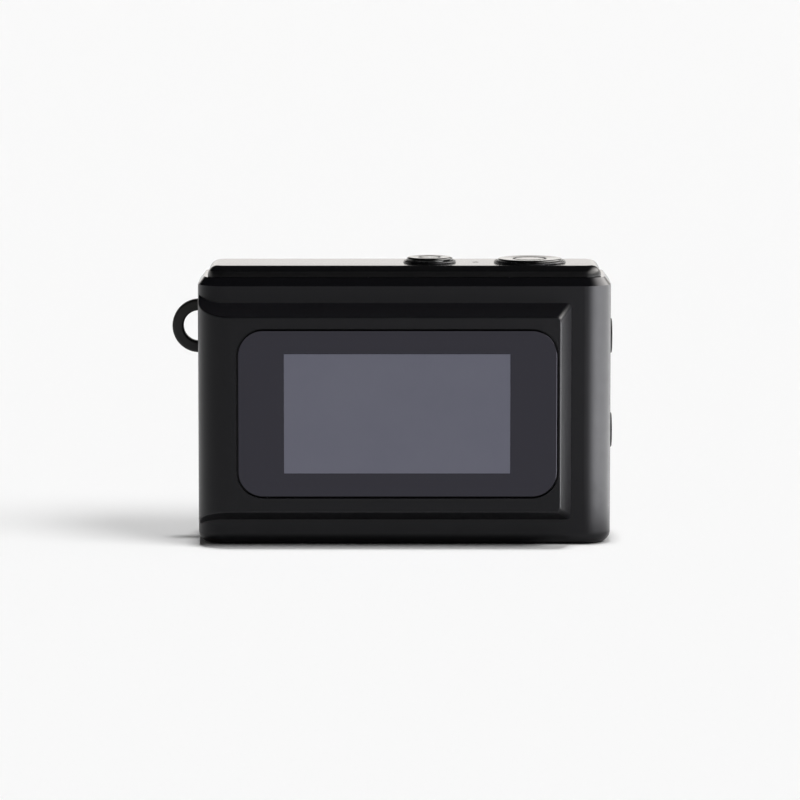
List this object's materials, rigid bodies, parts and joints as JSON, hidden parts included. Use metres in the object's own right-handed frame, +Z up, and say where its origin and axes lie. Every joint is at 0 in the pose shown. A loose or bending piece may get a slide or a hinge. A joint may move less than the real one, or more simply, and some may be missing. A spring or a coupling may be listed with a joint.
{
  "type": "geiger counter",
  "caption": "Pocket radiation meter: flat black case with a raised display block, press buttons on top and side, a strap loop, and a counter tube inside.",
  "frame": {"origin": "centre of the flat underside, midway between the left and right sides and between the front and back of the main body", "axes": "+Z up, +X to the right as the user reads the display, display facing -Y"},
  "size_m": [0.0841, 0.0275, 0.0541],
  "materials": {
    "shell_black": "fine-textured black moulding, satin",
    "cap_black": "smooth satin black moulding",
    "loop_black": "black powder coat over die-cast zinc",
    "window_glass": "smoked cover glass with a printed dark border",
    "display_dark": "display switched off",
    "reflector_white": "white reflector film and acrylic",
    "button_black": "satin black moulding",
    "collar_black": "black anodised ring",
    "spring_steel": "plain spring steel",
    "screw_steel": "black-plated steel",
    "insert_brass": "turned brass",
    "seal_rubber": "soft silicone",
    "foam_grey": "closed-cell foam",
    "tray_grey": "moulded tray",
    "flex_amber": "polyimide ribbon",
    "board_green": "green solder mask",
    "chip_black": "moulded package",
    "ceramic_tan": "ceramic capacitor",
    "core_grey": "ferrite core",
    "switch_steel": "stamped steel shell",
    "plunger_white": "natural nylon",
    "lamp_clear": "clear acrylic",
    "tube_metal": "thin stainless counter tube",
    "membrane_dark": "fine black dust mesh",
    "sounder_black": "moulded sounder case",
    "battery_foil": "pouch cell foil",
    "lead_red": "insulated wire"
  },
  "bodies": {
    "case": {"battery_cell": "battery_foil", "battery_leads": "lead_red", "battery_pad": "foam_grey", "battery_plug": "plunger_white", "board_link": "chip_black", "cap_screws": "screw_steel", "case_inserts": "insert_brass", "case_screws": "screw_steel", "case_seal": "seal_rubber", "charging_port": "switch_steel", "display_backlight": "reflector_white", "display_flex": "flex_amber", "display_panel": "display_dark", "display_socket": "chip_black", "display_support": "tray_grey", "display_window": "window_glass", "front_shell": "shell_black", "geiger_tube": "tube_metal", "hv_board": "board_green", "hv_capacitors": "ceramic_tan", "hv_standoffs": "insert_brass", "hv_transformer": "core_grey", "inductor": "chip_black", "light_guide": "reflector_white", "light_pipe": "lamp_clear", "main_board": "board_green", "main_board_screws": "screw_steel", "measure_button_collar": "collar_black", "power_button_collar": "collar_black", "power_chips": "chip_black", "processor": "chip_black", "rear_shell": "shell_black", "sensor_membrane": "membrane_dark", "side_board": "board_green", "side_board_flex": "flex_amber", "side_switch_cans": "switch_steel", "small_parts": "ceramic_tan", "sounder": "sounder_black", "sounder_mesh": "membrane_dark", "status_lamp": "lamp_clear", "strap_loop": "loop_black", "top_board": "board_green", "top_board_flex": "flex_amber", "top_board_screws": "screw_steel", "top_cap": "cap_black", "top_switch_cans": "switch_steel", "tube_clips": "spring_steel", "tube_cushions": "foam_grey", "tube_end_caps": "tube_metal", "window_tape": "foam_grey"},
    "power_press_body": {"power_button": "button_black", "power_button_clip": "spring_steel", "power_switch_plunger": "plunger_white"},
    "measure_press_body": {"measure_button": "button_black", "measure_button_clip": "spring_steel", "measure_switch_plunger": "plunger_white"},
    "upper_key_body": {"upper_side_key": "button_black", "upper_key_plunger": "plunger_white"},
    "lower_key_body": {"lower_side_key": "button_black", "lower_key_plunger": "plunger_white"}
  },
  "joints": [
    {"name": "power_press", "type": "slide", "parent": "case", "child": "power_press_body", "axis": [0, 0, -1], "range_m": [0, 0.0003], "stiffness_N_per_m": 3000},
    {"name": "measure_press", "type": "slide", "parent": "case", "child": "measure_press_body", "axis": [0, 0, -1], "range_m": [0, 0.0003], "stiffness_N_per_m": 3000},
    {"name": "upper_key_press", "type": "slide", "parent": "case", "child": "upper_key_body", "axis": [-1, 0, 0], "range_m": [0, 0.0003], "stiffness_N_per_m": 3000},
    {"name": "lower_key_press", "type": "slide", "parent": "case", "child": "lower_key_body", "axis": [-1, 0, 0], "range_m": [0, 0.0003], "stiffness_N_per_m": 3000}
  ]
}
